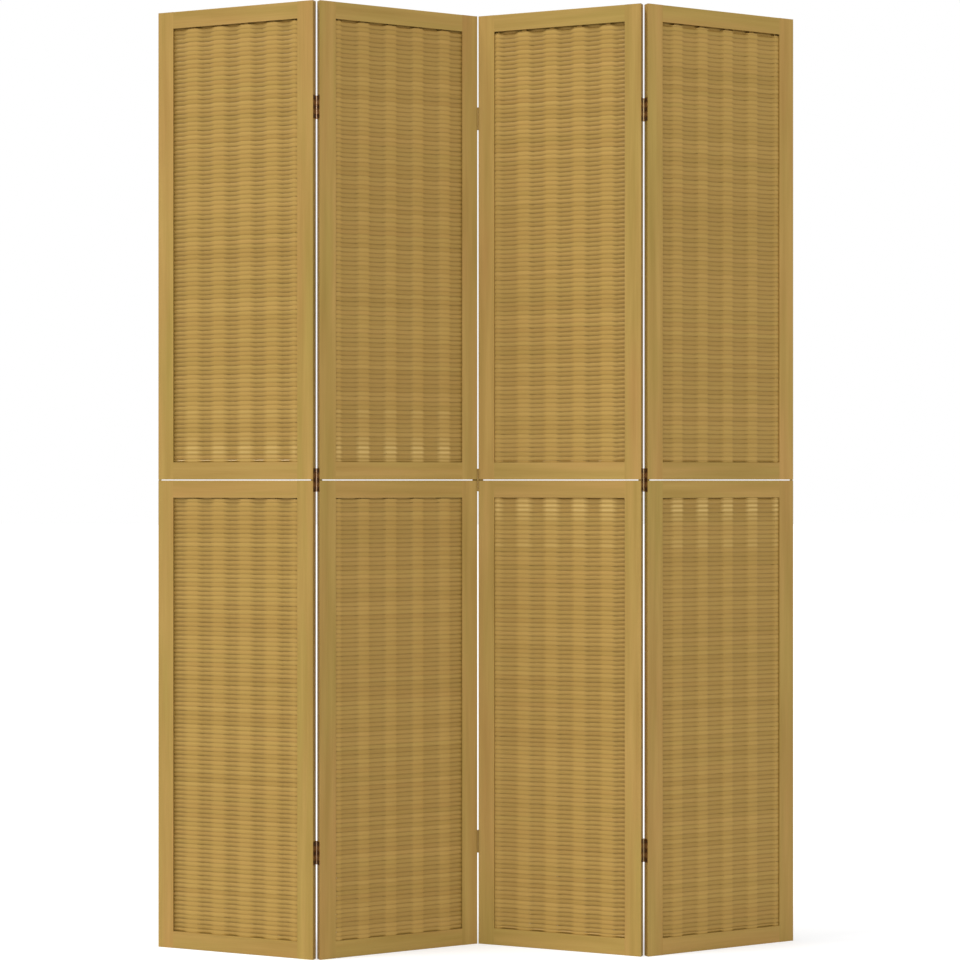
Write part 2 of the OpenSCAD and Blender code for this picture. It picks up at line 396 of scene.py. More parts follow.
@dataclass(frozen=True)
class Finish:
    """An uneven gloss and a fine relief that follow the same marks.

    Attributes:
        roughness: Roughness of the surface.
        unevenness: How much the roughness varies with the marks.
        relief: Strength of the marks' bump, and its depth in metres.
    """

    roughness: float = 0.42
    unevenness: float = 0.1
    relief: tuple[float, float] = (0.15, 0.0002)

    def end(self, nodes: Nodes, colour: Socket, marks: Socket, look: dict, rougher: object = 0.0) -> None:
        """Ends a material in its surface.

        Args:
            nodes: The material's nodes.
            colour: The surface's colour.
            marks: Its marks, from 0 to 1.
            look: The surface's other settings.
            rougher: How much rougher it is than the finish says, as a number or a socket.
        """
        strength, depth = self.relief
        relief = nodes.add("ShaderNodeBump", {"Height": marks, "Strength": strength, "Distance": depth})
        rough = nodes.math("ADD", nodes.around(marks, self.roughness, self.unevenness), rougher)
        look = {**look, "Base Color": colour, "Roughness": rough, "Normal": relief.outputs[0]}
        surface = nodes.add("ShaderNodeBsdfPrincipled", look)
        nodes.add("ShaderNodeOutputMaterial", {"Surface": surface.outputs[0]})


@dataclass(frozen=True)
class LacqueredWood(Finish):
    """Clear satin lacquer on light honey wood.

    Attributes:
        light: Colour of the palest wood.
        dark: Colour of the darkest wood.
        streaks: How strongly the streaks show.
        fibres: How strongly the fibres show.
        streak_scale: Streaks across the grain, in the noise's own scale.
        fibre_scale: Fibres across the grain, in the noise's own scale.
        specular: Strength of the lacquer's mirror reflection.
    """

    light: Colour = (0.500, 0.317, 0.083)
    dark: Colour = (0.396, 0.243, 0.053)
    streaks: float = 1.1
    fibres: float = 0.35
    streak_scale: float = 70.0
    fibre_scale: float = 800.0
    roughness: float = 0.45
    unevenness: float = 0.08
    specular: float = 0.3
    relief: tuple[float, float] = (0.12, 0.0004)

    def scales(self, seed: object) -> dict:
        """Returns the grain group's settings for this finish and seed."""
        return {"Streak Scale": self.streak_scale, "Fibre Scale": self.fibre_scale, "Seed": seed}

    def lightness(self, nodes: Nodes, figure: object, ground: Socket) -> Socket:
        """Adds the streaks and fibres to a ground, where 0 is the dark colour and 1 the light one."""
        streaked = nodes.math("ADD", ground, nodes.around(figure["Tone"], 0.0, self.streaks))
        return nodes.math("ADD", streaked, nodes.around(figure["Fibre"], 0.0, self.fibres))


@dataclass(frozen=True)
class WoodFinish(LacqueredWood):
    """The finish of stiles and rails.

    Attributes:
        blotches: How strongly the slow blotches show.
        edge: Brightness of the narrow edges beside that of the faces, painted darker as painted shade.
        edge_facing: How squarely a face looks along the panel when it counts as an edge, from 0 to 1.
    """

    blotches: float = 0.5
    edge: float = 0.87
    edge_facing: float = 0.6

    def material(
        self, name: str, grain: GrainGroup, panel: Panel, way: Grain, seed: float, tint: float
    ) -> Material:
        """Builds the finish for a piece of one grain direction.

        Args:
            name: The material's name.
            grain: The shared grain group.
            panel: The panel that the piece is in.
            way: The way that its grain runs.
            seed: Number that picks this piece's own grain.
            tint: Brightness of this piece's wood beside the others.

        Returns:
            The material.
        """
        made, nodes = new_material(name)
        where = nodes.add("ShaderNodeTexCoord").outputs
        figure = grain.place(nodes, where["Object"], panel.grain_turn(way), self.scales(seed))
        share = self.lightness(nodes, figure, nodes.around(figure["Blotch"], 0.5, self.blotches))
        dark = opaque(tuple(tint * part for part in self.dark))
        light = opaque(tuple(tint * part for part in self.light))
        wood = nodes.blend(1.0, nodes.blend(share, dark, light), figure["Cast"], "MULTIPLY")
        # Painted shade: the narrow side faces that look along the panel are darkened.
        sides = {0: where["Normal"], 1: panel.along}
        facing = nodes.add("ShaderNodeVectorMath", sides, operation="DOT_PRODUCT").outputs["Value"]
        narrow = nodes.math("GREATER_THAN", nodes.math("ABSOLUTE", facing), self.edge_facing)
        colour = nodes.blend(nodes.math("MULTIPLY", narrow, 1 - self.edge), wood, BLACK)
        self.end(nodes, colour, figure["Fibre"], {"Specular IOR Level": self.specular})
        return made


@dataclass(frozen=True)
class StripFinish(LacqueredWood):
    """The finish of thin strips of the same wood, each with its own tone.

    Attributes:
        pale: Colour of the painted highlight on the strips near the screen's middle, strongest on their
            crests over the stakes.
        variety: How much the strips differ from each other in tone.
        cast: How strongly the wood's slow change of cast shows.
        seeds: Range of the numbers that pick each strip's own grain.
        rim: How much darker a strip's long edges are painted than its middle, as painted shade of the
            rounded edges and the crevices between strips.
        rim_power: How closely that keeps to the edges.
        deep: How much darker a strip is painted where it lies deep between the stakes, as painted shade of
            the recess.
    """

    light: Colour = (0.525, 0.326, 0.080)
    dark: Colour = (0.440, 0.265, 0.057)
    streaks: float = 0.35
    fibres: float = 0.3
    streak_scale: float = 110.0
    fibre_scale: float = 900.0
    roughness: float = 0.42
    unevenness: float = 0.07
    relief: tuple[float, float] = (0.1, 0.0003)
    pale: Colour = (0.70, 0.48, 0.16)
    variety: float = 0.35
    cast: float = 0.3
    seeds: float = 40.0
    rim: float = 0.2
    rim_power: float = 3.0
    deep: float = 0.1

    def material(self, name: str, grain: GrainGroup, turn: Euler) -> Material:
        """Builds the finish for the strips of one panel.

        Args:
            name: The material's name.
            grain: The shared grain group.
            turn: Rotation that brings the grain's direction to Z.

        Returns:
            The material.
        """
        made, nodes = new_material(name)
        where = nodes.add("ShaderNodeTexCoord").outputs["Object"]
        strip = nodes.attribute(StripLayer.TONE)
        glint_mask = nodes.attribute(StripLayer.GLINT)
        slack = nodes.attribute(StripLayer.SLACK)
        aside = nodes.math("ABSOLUTE", nodes.attribute(StripLayer.SIDE))
        scales = self.scales(nodes.math("MULTIPLY", strip, self.seeds))
        figure = grain.place(nodes, where, turn, scales)
        share = self.lightness(nodes, figure, nodes.around(strip, 0.5, self.variety))
        plain = nodes.blend(share, opaque(self.dark), opaque(self.light))
        wood = nodes.blend(self.cast, plain, figure["Cast"], "MULTIPLY")
        # Painted highlight: the marked strips are painted paler on their crests over the stakes.
        glint_crest = nodes.math("MULTIPLY", glint_mask, nodes.math("SUBTRACT", 1.0, aside))
        shown = nodes.math("MULTIPLY", glint_crest, nodes.math("SUBTRACT", 1.0, slack))
        # Painted shade: darker along each strip's long edges and where it lies deep between the stakes.
        rims = nodes.math("MULTIPLY", nodes.math("POWER", aside, self.rim_power), self.rim)
        shade = nodes.math("ADD", rims, nodes.math("MULTIPLY", slack, self.deep))
        colour = nodes.blend(shade, nodes.blend(shown, wood, opaque(self.pale)), BLACK)
        self.end(nodes, colour, figure["Fibre"], {"Specular IOR Level": self.specular})
        return made


@dataclass(frozen=True, kw_only=True)
class MetalFinish(Finish):
    """Sheet or turned metal with a worn, uneven surface.

    Attributes:
        base: Colour of the surface.
        worn: Colour where it is rubbed.
        wear: How much of it is rubbed.
        metallic: Share of bare metal.
        scales: Scales of the mottling and of the finest marks.
    """

    base: Colour
    worn: Colour
    wear: float = 0.35
    metallic: float = 0.9
    scales: tuple[float, float] = (220.0, 1320.0)

    def material(self, name: str) -> Material:
        """Builds the finish.

        Args:
            name: The material's name.

        Returns:
            The material.
        """
        made, nodes = new_material(name)
        where = nodes.add("ShaderNodeTexCoord").outputs["Object"]
        mottle, fine = self.marks(nodes, where)
        rubbed = nodes.math("MULTIPLY", mottle, self.wear)
        colour = nodes.blend(rubbed, opaque(self.base), opaque(self.worn))
        self.end(nodes, colour, fine, {"Metallic": self.metallic})
        return made

    def marks(self, nodes: Nodes, where: Socket) -> tuple[Socket, Socket]:
        """Adds the metal's mottling and its finest marks, and returns their sockets."""
        coarse_scale, fine_scale = self.scales
        return nodes.noise(where, coarse_scale, detail=4.0), nodes.noise(where, fine_scale, detail=2.0)


@dataclass(frozen=True, kw_only=True)
class HingeFinish(MetalFinish):
    """Dark bronzed hinge metal whose barrel is rubbed bright and painted with its fold's shade and
    reflection, with two pale patches on each leaf.

    Attributes:
        base: Colour of the leaves.
        worn: Colour of the patches, which lie beside the second and the fourth knuckle.
        barrel: Colour of the rubbed metal on the barrel, with this fold's shade and reflections painted in.
        wear: How much of a leaf is rubbed, and how much of that shows on the barrel.
        polish: How much smoother the barrel is.
        axis: Where the fold's axis stands, along the screen and in depth.
        reach: Distance from the axis within which the metal is rubbed.
        first: Height of the lowest hinge's middle.
        spacing: Distance between the middles of two hinges.
        knuckle: Distance between the middles of two knuckles.
        patch_middle: Distance of a patch's middle from the axis.
        patch_width: Half the width of a patch.
        patch_height: Half its height, as a share of the knuckle.
        patch_strength: How strong a patch is in its middle, where 1 hides the leaf's colour.
        patch_loss: How much of that strength is gone at its rim.
    """

    base: Colour = (0.17, 0.065, 0.011)
    worn: Colour = (0.42, 0.25, 0.085)
    barrel: Colour
    wear: float = 0.5
    polish: float = 0.12
    metallic: float = 0.85
    scales: tuple[float, float] = (260.0, 1500.0)
    axis: tuple[float, float]
    reach: float = 0.00175
    first: float = 0.199
    spacing: float = 0.701
    knuckle: float = 0.0088
    patch_middle: float = 0.00825
    patch_width: float = 0.008
    patch_height: float = 0.62
    patch_strength: float = 2.4
    patch_loss: float = 2.0

    def material(self, name: str) -> Material:
        """Builds the finish for the leaves of one fold.

        Args:
            name: The material's name.

        Returns:
            The material.
        """
        made, nodes = new_material(name)
        where = nodes.add("ShaderNodeTexCoord").outputs["Object"]
        across, deep = self.axis
        moved = {"Vector": where, "Location": (-across, -deep, -self.first)}
        apart = nodes.add("ShaderNodeMapping", moved)
        parts = nodes.add("ShaderNodeSeparateXYZ", {"Vector": apart.outputs[0]}).outputs
        away = nodes.distance(parts["X"], parts["Y"])
        near = nodes.math("LESS_THAN", away, self.reach)
        height = nodes.math("PINGPONG", parts["Z"], self.spacing / 2)
        out = nodes.math("DIVIDE", nodes.math("SUBTRACT", away, self.patch_middle), self.patch_width)
        half_height = self.patch_height * self.knuckle
        up = nodes.math("DIVIDE", nodes.math("SUBTRACT", height, self.knuckle), half_height)
        beyond = nodes.distance(up, out)
        patch = nodes.math("MULTIPLY_ADD", beyond, -self.patch_loss, self.patch_strength)
        mottle, fine = self.marks(nodes, where)
        wear = nodes.math("MULTIPLY", mottle, self.wear)
        leaf = nodes.blend(nodes.math("MAXIMUM", wear, patch), opaque(self.base), opaque(self.worn))
        bright = nodes.math("MULTIPLY", wear, self.wear)
        # The barrel's colour, which holds the fold's painted shade and reflection, with wear on it.
        rubbed = nodes.blend(bright, opaque(self.barrel), opaque(self.worn))
        smoother = nodes.math("MULTIPLY", near, -self.polish)
        self.end(nodes, nodes.blend(near, leaf, rubbed), fine, {"Metallic": self.metallic}, smoother)
        return made


def in_scene(name: str, data: bpy.types.ID) -> Piece:
    """Creates an object at the origin of the scene.

    Args:
        name: The object's name.
        data: Its mesh, camera or lamp.

    Returns:
        The new object.
    """
    made = bpy.data.objects.new(name, data)
    bpy.context.scene.collection.objects.link(made)
    return made


def solid(name: str, mesh: BMesh, finish: Material) -> Piece:
    """Turns a bmesh into an object of the scene.

    Args:
        name: The object's name.
        mesh: The bmesh, which is freed.
        finish: The object's material.

    Returns:
        The new object.
    """
    data = bpy.data.meshes.new(name)
    mesh.to_mesh(data)
    mesh.free()
    data.materials.append(finish)
    return in_scene(name, data)


def ease_bends(mesh: bpy.types.Mesh, along: Vector, kept: float = 0.2, least: float = 0.5) -> None:
    """Shades strips as if they took their bends softly, as thin wood does.

    Args:
        mesh: The strips' mesh.
        along: The direction that the strips run in.
        kept: How much of a bend still shows in the shading.
        least: Length that a normal keeps when it is eased; a shorter one, at a strip's end, is left.
    """
    eased = []
    for corner in mesh.corner_normals:
        normal = Vector(corner.vector)
        level = normal - (1 - kept) * normal.dot(along) * along
        eased.append(level.normalized() if level.length > least else normal)
    mesh.normals_split_custom_set(eased)


@dataclass
class StripLayer:
    """One layer of woven strips in the openings of one panel.

    Attributes:
        sizes: The screen's sizes.
        layer: Which layer this is.
        bends: How the strips bend round this panel's stakes.
        rows: Strips that fill the opening's height.
        stakes: Whole stakes in an opening, beside the one at the stile.
        last_column: Width of the last open column, as a share of the distance between stakes.
        inset: Distance of the strips over the stakes from the frame's face.
        recess: How much further in a strip lies midway between stakes.
        dive: Width of the bend beside the first stile.
        body: Thickness of a strip in its middle, over a stake.
        crown: The same thickness midway between stakes, where the strip bulges.
        slit: Gap between strips over the stakes.
        spread: Gap between strips midway between stakes.
        sag: How far a strip hangs down midway between stakes.
        start: How far a strip runs into the near groove, how loose it is there, and at the stile's edge.
        end: How far a strip runs into the far groove, and how loose it is there.
        back_drop: How much lower the back layer's strips lie, in rows.
        tuck: How far the hidden back layer runs into the rails' grooves.
        free: How loose a strip must be to do so.
        wander: How far a strip strays from its place.
        waves: How closely that changes along a strip, up and down and in depth.
        lean: How far a whole strip may stray, as a share of the wander.
        depth: How far it may stray in depth, as such a share.
        least: Height that a strip must have in the opening to be laid.
        sliver: Least height that a rail leaves of a strip.
        crease: Bend above which an edge is shaded as a sharp one.
    """

    TONE = "strip_tone"
    SIDE = "strip_side"
    SLACK = "strip_slack"
    # Strength of the painted highlight that a strip carries.
    GLINT = "strip_painted_glint"
    # Where in the noise a strip finds its stray: the range of its own place, and one place each for
    # its stray up and down and in depth.
    PHASES = 50
    RISE_PLACE = 0.5
    DEPTH_PLACE = 7.5

    sizes: ScreenSizes
    layer: Layer
    bends: Bends
    rows: int = 98
    stakes: int = 4
    last_column: float = 0.68
    inset: float = 0.0009
    recess: float = 0.0053
    dive: float = 0.006
    body: float = 0.0004
    crown: float = 0.0022
    slit: float = 0.00015
    spread: float = 0.00025
    sag: float = 0.0007
    start: tuple[float, float, float] = (0.002, 0.55, 0.46)
    end: tuple[float, float] = (0.005, 0.9)
    back_drop: float = 0.25
    tuck: float = 0.002
    free: float = 0.8
    wander: float = 0.00025
    waves: tuple[float, float] = (38, 45)
    lean: float = 0.4
    depth: float = 0.6
    least: float = 0.0008
    sliver: float = 0.0003
    crease: float = math.radians(45)

    @property
    def pitch(self) -> float:
        """Distance between the middles of two strips."""
        return self.sizes.opening_height / self.rows

    @property
    def stake_pitch(self) -> float:
        """Distance between the middles of two stakes in their even places."""
        return self.sizes.opening_width / (self.stakes + self.last_column)

    def stake_middle(self, stake: int) -> float:
        """Returns how far a stake's middle is from the panel's edge; the number counts from there."""
        drift = self.bends.drift if stake else 0.0
        return self.sizes.stile_width + stake * self.stake_pitch + drift

    def stations(self) -> list[tuple[float, float]]:
        """Lists the places along a strip where it bends.

        Returns:
            Pairs of the distance from the panel's edge and how loose the strip is there, from 0 over a
            stake to 1 midway between two.
        """
        stile = self.sizes.stile_width
        near, loose_in_groove, loose_at_stile = self.start
        places = [(stile - near, loose_in_groove), (stile, loose_at_stile), (stile + self.dive, 0.0)]
        bend = [(self.bends.hold, 0.0), (self.bends.hold + self.bends.shoulder, 1.0)]
        for stake in range(self.stakes + 1):
            middle = self.stake_middle(stake)
            if stake:
                places += [(middle - away, loose) for away, loose in reversed(bend)]
            places += [(middle + away, loose) for away, loose in bend]
        far, loose_at_end = self.end
        places.append((self.sizes.panel_width - stile + far, loose_at_end))
        return places

    def strip(self) -> BMesh:
        """Shapes one strip of full height, centred on Z = 0, with a bulging face and a flat back.

        Returns:
            A bmesh of one closed strip, whose vertices know their looseness and their side.
        """
        places = self.stations()
        last = len(places) - 1
        mesh = bmesh.new()
        bmesh.ops.create_grid(mesh, x_segments=last, y_segments=2, size=1.0)
        sides = mesh.verts.layers.float.new(self.SIDE)
        slack = mesh.verts.layers.float.new(self.SLACK)
        for vert in mesh.verts:
            run, loose = places[round((vert.co.x + 1) / 2 * last)]
            side = vert.co.y
            bulge = (self.body + loose * (self.crown - self.body)) * (1 - side * side)
            vert[sides] = side
            vert[slack] = loose
            vert.co = (run, self.inset + self.body + self.recess * loose - bulge, side * self.pitch / 2)
        open_edges = [edge for edge in mesh.edges if edge.is_boundary]
        rims = [edge for edge in open_edges if all(round(vert[sides]) for vert in edge.verts)]
        bmesh.ops.bridge_loops(mesh, edges=rims)
        ends = [edge for edge in mesh.edges if edge.is_boundary]
        bmesh.ops.holes_fill(mesh, edges=ends, sides=3)
        return mesh

    def spans(self, shift: float) -> list[tuple[float, float]]:
        """Lists the strips of an opening by their lower and upper edge, if nothing held them in.

        Args:
            shift: How far the opening's strips are shifted up, in rows.

        Returns:
            The strips from the bottom up, in metres above the opening's lower edge.
        """
        if self.layer is Layer.BACK:
            shift -= self.back_drop
        ceiling = self.sizes.opening_height - self.least
        rows = range(-1, self.rows + 2)
        spans = [((row + shift) * self.pitch, (row + shift + 1) * self.pitch) for row in rows]
        return [(low, high) for low, high in spans if high > self.least and low < ceiling]

    def mesh(self, panel: Panel, tier: Tier, seed: int) -> BMesh:
        """Lays every strip of the layer in its place.

        Args:
            panel: The panel that the layer is in.
            tier: The tier that it fills.
            seed: Seed of the strips' small differences.

        Returns:
            A bmesh of all the layer's strips, in place.
        """
        chance = random.Random(seed)
        opening = OPENINGS[panel.number, tier]
        mesh = self.strip()
        mesh.verts.layers.float.new(self.TONE)
        mesh.verts.layers.float.new(self.GLINT)
        first = mesh.verts[:] + mesh.edges[:] + mesh.faces[:]
        spans = self.spans(opening.shift)
        laid = [mesh.verts[:]]
        for _ in spans[1:]:
            copy = bmesh.ops.duplicate(mesh, geom=first)["geom"]
            laid.append([item for item in copy if isinstance(item, bmesh.types.BMVert)])
        ceiling = self.sizes.opening_height
        if self.layer is Layer.FRONT:
            ceiling -= opening.end_gap
        order = range(len(spans)) if tier is Tier.UPPER else range(len(spans) - 1, -1, -1)
        for verts, span, place in zip(laid, spans, order):
            # Painted highlight on the strips nearest the middle rail of some openings.
            pale = opening.painted_glint * PAINTED_GLINT_STRIPS[place] if place < len(PAINTED_GLINT_STRIPS) else 0.0
            self.lay(verts, span, ceiling, pale, mesh.verts.layers.float, chance)
        if self.layer is Layer.BACK:
            behind = Matrix.Translation((0, self.sizes.frame_thickness, 0))
            turned = behind @ Matrix.Scale(-1, 4, (0, 1, 0))
            bmesh.ops.transform(mesh, matrix=turned, verts=mesh.verts[:])
        panel.take_in(mesh, self.sizes.opening_foot(tier))
        for face in mesh.faces:
            face.smooth = True
        for edge in mesh.edges:
            edge.smooth = edge.calc_face_angle(0.0) < self.crease
        return mesh

    def lay(
        self, verts: list, span: tuple[float, float], ceiling: float, pale: float, layers: object,
        chance: random.Random,
    ) -> None:
        """Moves one strip to its place, with its own tone and small wander.

        Args:
            verts: The strip's vertices.
            span: The heights of its lower and upper edge.
            ceiling: Height that the strip stays under.
            pale: Strength of the painted highlight on the strip, from 0 to 1.
            layers: The vertex layers of numbers.
            chance: Source of the strip's differences.
        """
        tone = chance.random()
        phase = chance.uniform(0, self.PHASES)
        lean = chance.uniform(-self.lean, self.lean)
        rising, deepening = self.waves
        for vert in verts:
            side, loose = vert[layers[self.SIDE]], vert[layers[self.SLACK]]
            stray = noise.noise(Vector((vert.co.x * rising, phase, self.RISE_PLACE)))
            depth = noise.noise(Vector((vert.co.x * deepening, phase, self.DEPTH_PLACE)))
            gap = self.slit + loose * (self.spread - self.slit)
            settle = self.wander * (stray + lean) - self.sag * loose
            reach = self.tuck if self.layer is Layer.BACK and loose > self.free else 0.0
            top = ceiling + reach if self.layer is Layer.BACK else ceiling - self.sag * loose
            low = min(max(span[0] + gap / 2 + settle, -reach), top - self.sliver)
            high = max(min(span[1] - gap / 2 + settle, top), self.sliver - reach)
            vert.co.z = low + (side + 1) / 2 * (high - low)
            vert.co.y += self.depth * self.wander * depth
            vert[layers[self.TONE]] = tone
            vert[layers[self.GLINT]] = pale


@dataclass
class Stakes:
    """The upright laths that the strips are woven over, in one opening.

    Attributes:
        sizes: The screen's sizes.
        layer: A layer of strips, for the stakes' places.
        width: Width of a stake.
        clear: Clearance between a stake and the strips.
        arris: Size of the small bevel on the long edges.
        tenon: Width share and thickness of the stake's ends, which sit in the rails' grooves.
        reach: How far those ends run into the grooves.
        setback: How far below the upper rail the stake's full thickness stops.
        edge: Distances from the first stile between which its half stake stands.
    """

    sizes: ScreenSizes
    layer: StripLayer
    width: float = 0.02
    clear: float = 0.0002
    arris: float = 0.0006
    tenon: tuple[float, float] = (0.45, 0.003)
    reach: float = 0.005
    setback: float = 0.004
    edge: tuple[float, float] = (0.0056, 0.01)

    def mesh(self, panel: Panel, tier: Tier) -> BMesh:
        """Builds every stake of one opening.

        Args:
            panel: The panel that they are in.
            tier: The tier that they stand in.

        Returns:
            A bmesh of all the stakes, in place.
        """
        mesh = bmesh.new()
        for stake in range(self.layer.stakes + 1):
            self.add_stake(mesh, stake)
        panel.take_in(mesh, self.sizes.opening_foot(tier))
        return mesh

    def add_stake(self, mesh: BMesh, stake: int) -> None:
        """Adds one stake, the first of them a narrow one beside its stile.

        Args:
            mesh: The bmesh to add to.
            stake: The stake's number from the weave's first stile.
        """
        middle = self.layer.stake_middle(stake)
        left, right = middle - self.width / 2, middle + self.width / 2
        if not stake:
            left, right = (middle + edge for edge in self.edge)
        thick = self.sizes.frame_thickness - 2 * (self.layer.inset + self.layer.body + self.clear)
        height = self.sizes.opening_height - self.setback
        made = bmesh.ops.create_cube(mesh, size=1.0)["verts"]
        bmesh.ops.scale(mesh, vec=(right - left, thick, height), verts=made)
        place = ((left + right) / 2, self.sizes.frame_thickness / 2, height / 2)
        bmesh.ops.translate(mesh, vec=place, verts=made)
        faces = {face for vert in made for face in vert.link_faces}
        foot = min(faces, key=lambda face: face.calc_center_median().z)
        head = max(faces, key=lambda face: face.calc_center_median().z)
        for end, run in ((foot, -self.reach), (head, self.reach + self.setback)):
            shoulder = bmesh.ops.extrude_discrete_faces(mesh, faces=[end])["faces"]
            corners = shoulder[0].verts[:]
            centre = Matrix.Translation([-part for part in place])
            share, depth = self.tenon
            bmesh.ops.scale(mesh, vec=(share, depth / thick, 1.0), space=centre, verts=corners)
            grown = bmesh.ops.extrude_discrete_faces(mesh, faces=shoulder)["faces"]
            bmesh.ops.translate(mesh, vec=(0, 0, run), verts=grown[0].verts[:])
        sides = {edge for vert in made for edge in vert.link_edges}
        long = [edge for edge in sides if abs(edge.verts[0].co.z - edge.verts[1].co.z) > height / 2]
        bmesh.ops.bevel(
            mesh, geom=long, offset=self.arris, affect="EDGES", segments=1, profile=0.5, material=-1
        )


@dataclass
class Weave:
    """The woven filling of every opening.

    Attributes:
        sizes: The screen's sizes.
        grain: The shared grain group.
        finish: Finish of the strips and stakes.
    """

    # Seeds of the strips' small differences: a step for each panel, and one for the back layer.
    PANEL_SEED = 10
    BACK_SEED = 50

    sizes: ScreenSizes
    grain: GrainGroup
    finish: StripFinish = field(default_factory=StripFinish)

    def build(self, panels: list[Panel]) -> None:
        """Builds strips and stakes for every opening.

        Args:
            panels: The panels from left to right.
        """
        for panel in panels:
            number = panel.number
            front = StripLayer(self.sizes, Layer.FRONT, BENDS[number])
            back = StripLayer(self.sizes, Layer.BACK, BENDS[number])
            stakes = Stakes(self.sizes, front)
            level = self.finish.material(f"strips_{number}", self.grain, panel.grain_turn(Grain.LEVEL))
            turn = panel.grain_turn(Grain.UPRIGHT)
            upright = self.finish.material(f"stake_wood_{number}", self.grain, turn)
            for tier in Tier:
                seed = self.PANEL_SEED * number + (tier is Tier.UPPER)
                back_seed = seed + self.BACK_SEED
                pieces = (
                    ("strips_front", front.mesh(panel, tier, seed), level, "weave_rows"),
                    ("strips_back", back.mesh(panel, tier, back_seed), level, "weave_back"),
                    ("stakes", stakes.mesh(panel, tier), upright, "stakes"),
                )
                for kind, mesh, finish, node in pieces:
                    name = f"{kind}_{number}_{tier.value}"
                    piece = solid(name, mesh, finish)
                    if finish is level:
                        ease_bends(piece.data, panel.along)
                    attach(piece, panel.body)
                    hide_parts(f"{node}_{panel.number}")
                    log.info("%s: %d faces", name, len(piece.data.polygons))


def dress(node: Piece, finish: Material) -> None:
    """Makes this the only finish of one of the frame's own solids."""
    node.data.materials.clear()
    node.data.materials.append(finish)


@dataclass
class Frames:
    """The stiles and rails of every panel.

    Attributes:
        nodes: The frame's objects by name.
        grain: The shared grain group.
        finish: Finish of the wood.
        variety: How much one piece's brightness may differ from another's.
        seed: Seed of the pieces' differences.
        seeds: Range of the numbers that pick each piece's own grain.
    """

    PARTS = {
        "left_stile": Grain.UPRIGHT,
        "right_stile": Grain.UPRIGHT,
        "top_rail": Grain.LEVEL,
        "bottom_rail": Grain.LEVEL,
    }

    nodes: dict[str, Piece]
    grain: GrainGroup
    finish: WoodFinish = field(default_factory=WoodFinish)
    variety: float = 0.03
    seed: int = 5
    seeds: float = 100

    def build(self, panels: list[Panel]) -> None:
        """Dresses every stile and rail in its own piece of wood.

        Args:
            panels: The panels from left to right.
        """
        chance = random.Random(self.seed)
        for panel in panels:
            for tier in Tier:
                for part, grain in self.PARTS.items():
                    name = f"{part}_{panel.number}_{tier.value}"
                    tint = 1 + chance.uniform(-self.variety, self.variety)
                    seed = chance.uniform(0, self.seeds)
                    finish = self.finish.material(f"wood_{name}", self.grain, panel, grain, seed, tint)
                    dress(self.nodes[name], finish)
                    log.info("%s: grain %s", name, grain.value)


@dataclass
class Fittings:
    """The hinges, screws and joining plates.

    Attributes:
        nodes: The frame's objects by name.
        joints: The frame's joints, from left to right.
        shaded_barrels: Colour of each fold's barrel: one rubbed metal, its fold's shade and reflection
            painted in, darkest and brownest in the second fold.
        pin: Finish of the hinge pins.
        screw: Finish of the screws.
        plate: Finish of the joining plates.
    """

    nodes: dict[str, Piece]
    joints: list[dict]
    # Painted shade and reflection: the same metal coloured fold by fold as each fold's light falls.
    shaded_barrels: tuple[Colour, ...] = ((0.37, 0.27, 0.20), (0.27, 0.175, 0.05), (0.35, 0.28, 0.16))
    pin: MetalFinish = MetalFinish(base=(0.30, 0.27, 0.24), worn=(0.52, 0.48, 0.44), roughness=0.38)
    screw: MetalFinish = MetalFinish(base=(0.13, 0.10, 0.07), worn=(0.30, 0.24, 0.17), roughness=0.4)
    plate: MetalFinish = MetalFinish(base=(0.42, 0.30, 0.13), worn=(0.58, 0.44, 0.24), roughness=0.4)

    def build(self) -> None:
        """Dresses every fitting."""
        kinds = {
            "hinge_pins": self.pin.material("hinge_pin_steel"),
            "screws": self.screw.material("screw_metal"),
            "joining_plate": self.plate.material("joining_plate_metal"),
        }
        for number, (joint, barrel) in enumerate(zip(self.joints, self.shaded_barrels), start=1):
            leaf = HingeFinish(barrel=barrel, axis=tuple(joint["pos_m"][:2]))
            kinds[f"hinge_leaves_{number}"] = leaf.material(f"hinge_metal_{number}")
        for name, node in self.nodes.items():
            for kind, finish in kinds.items():
                if name.startswith(kind):
                    dress(node, finish)
                    log.info("%s: %s", name, finish.name)


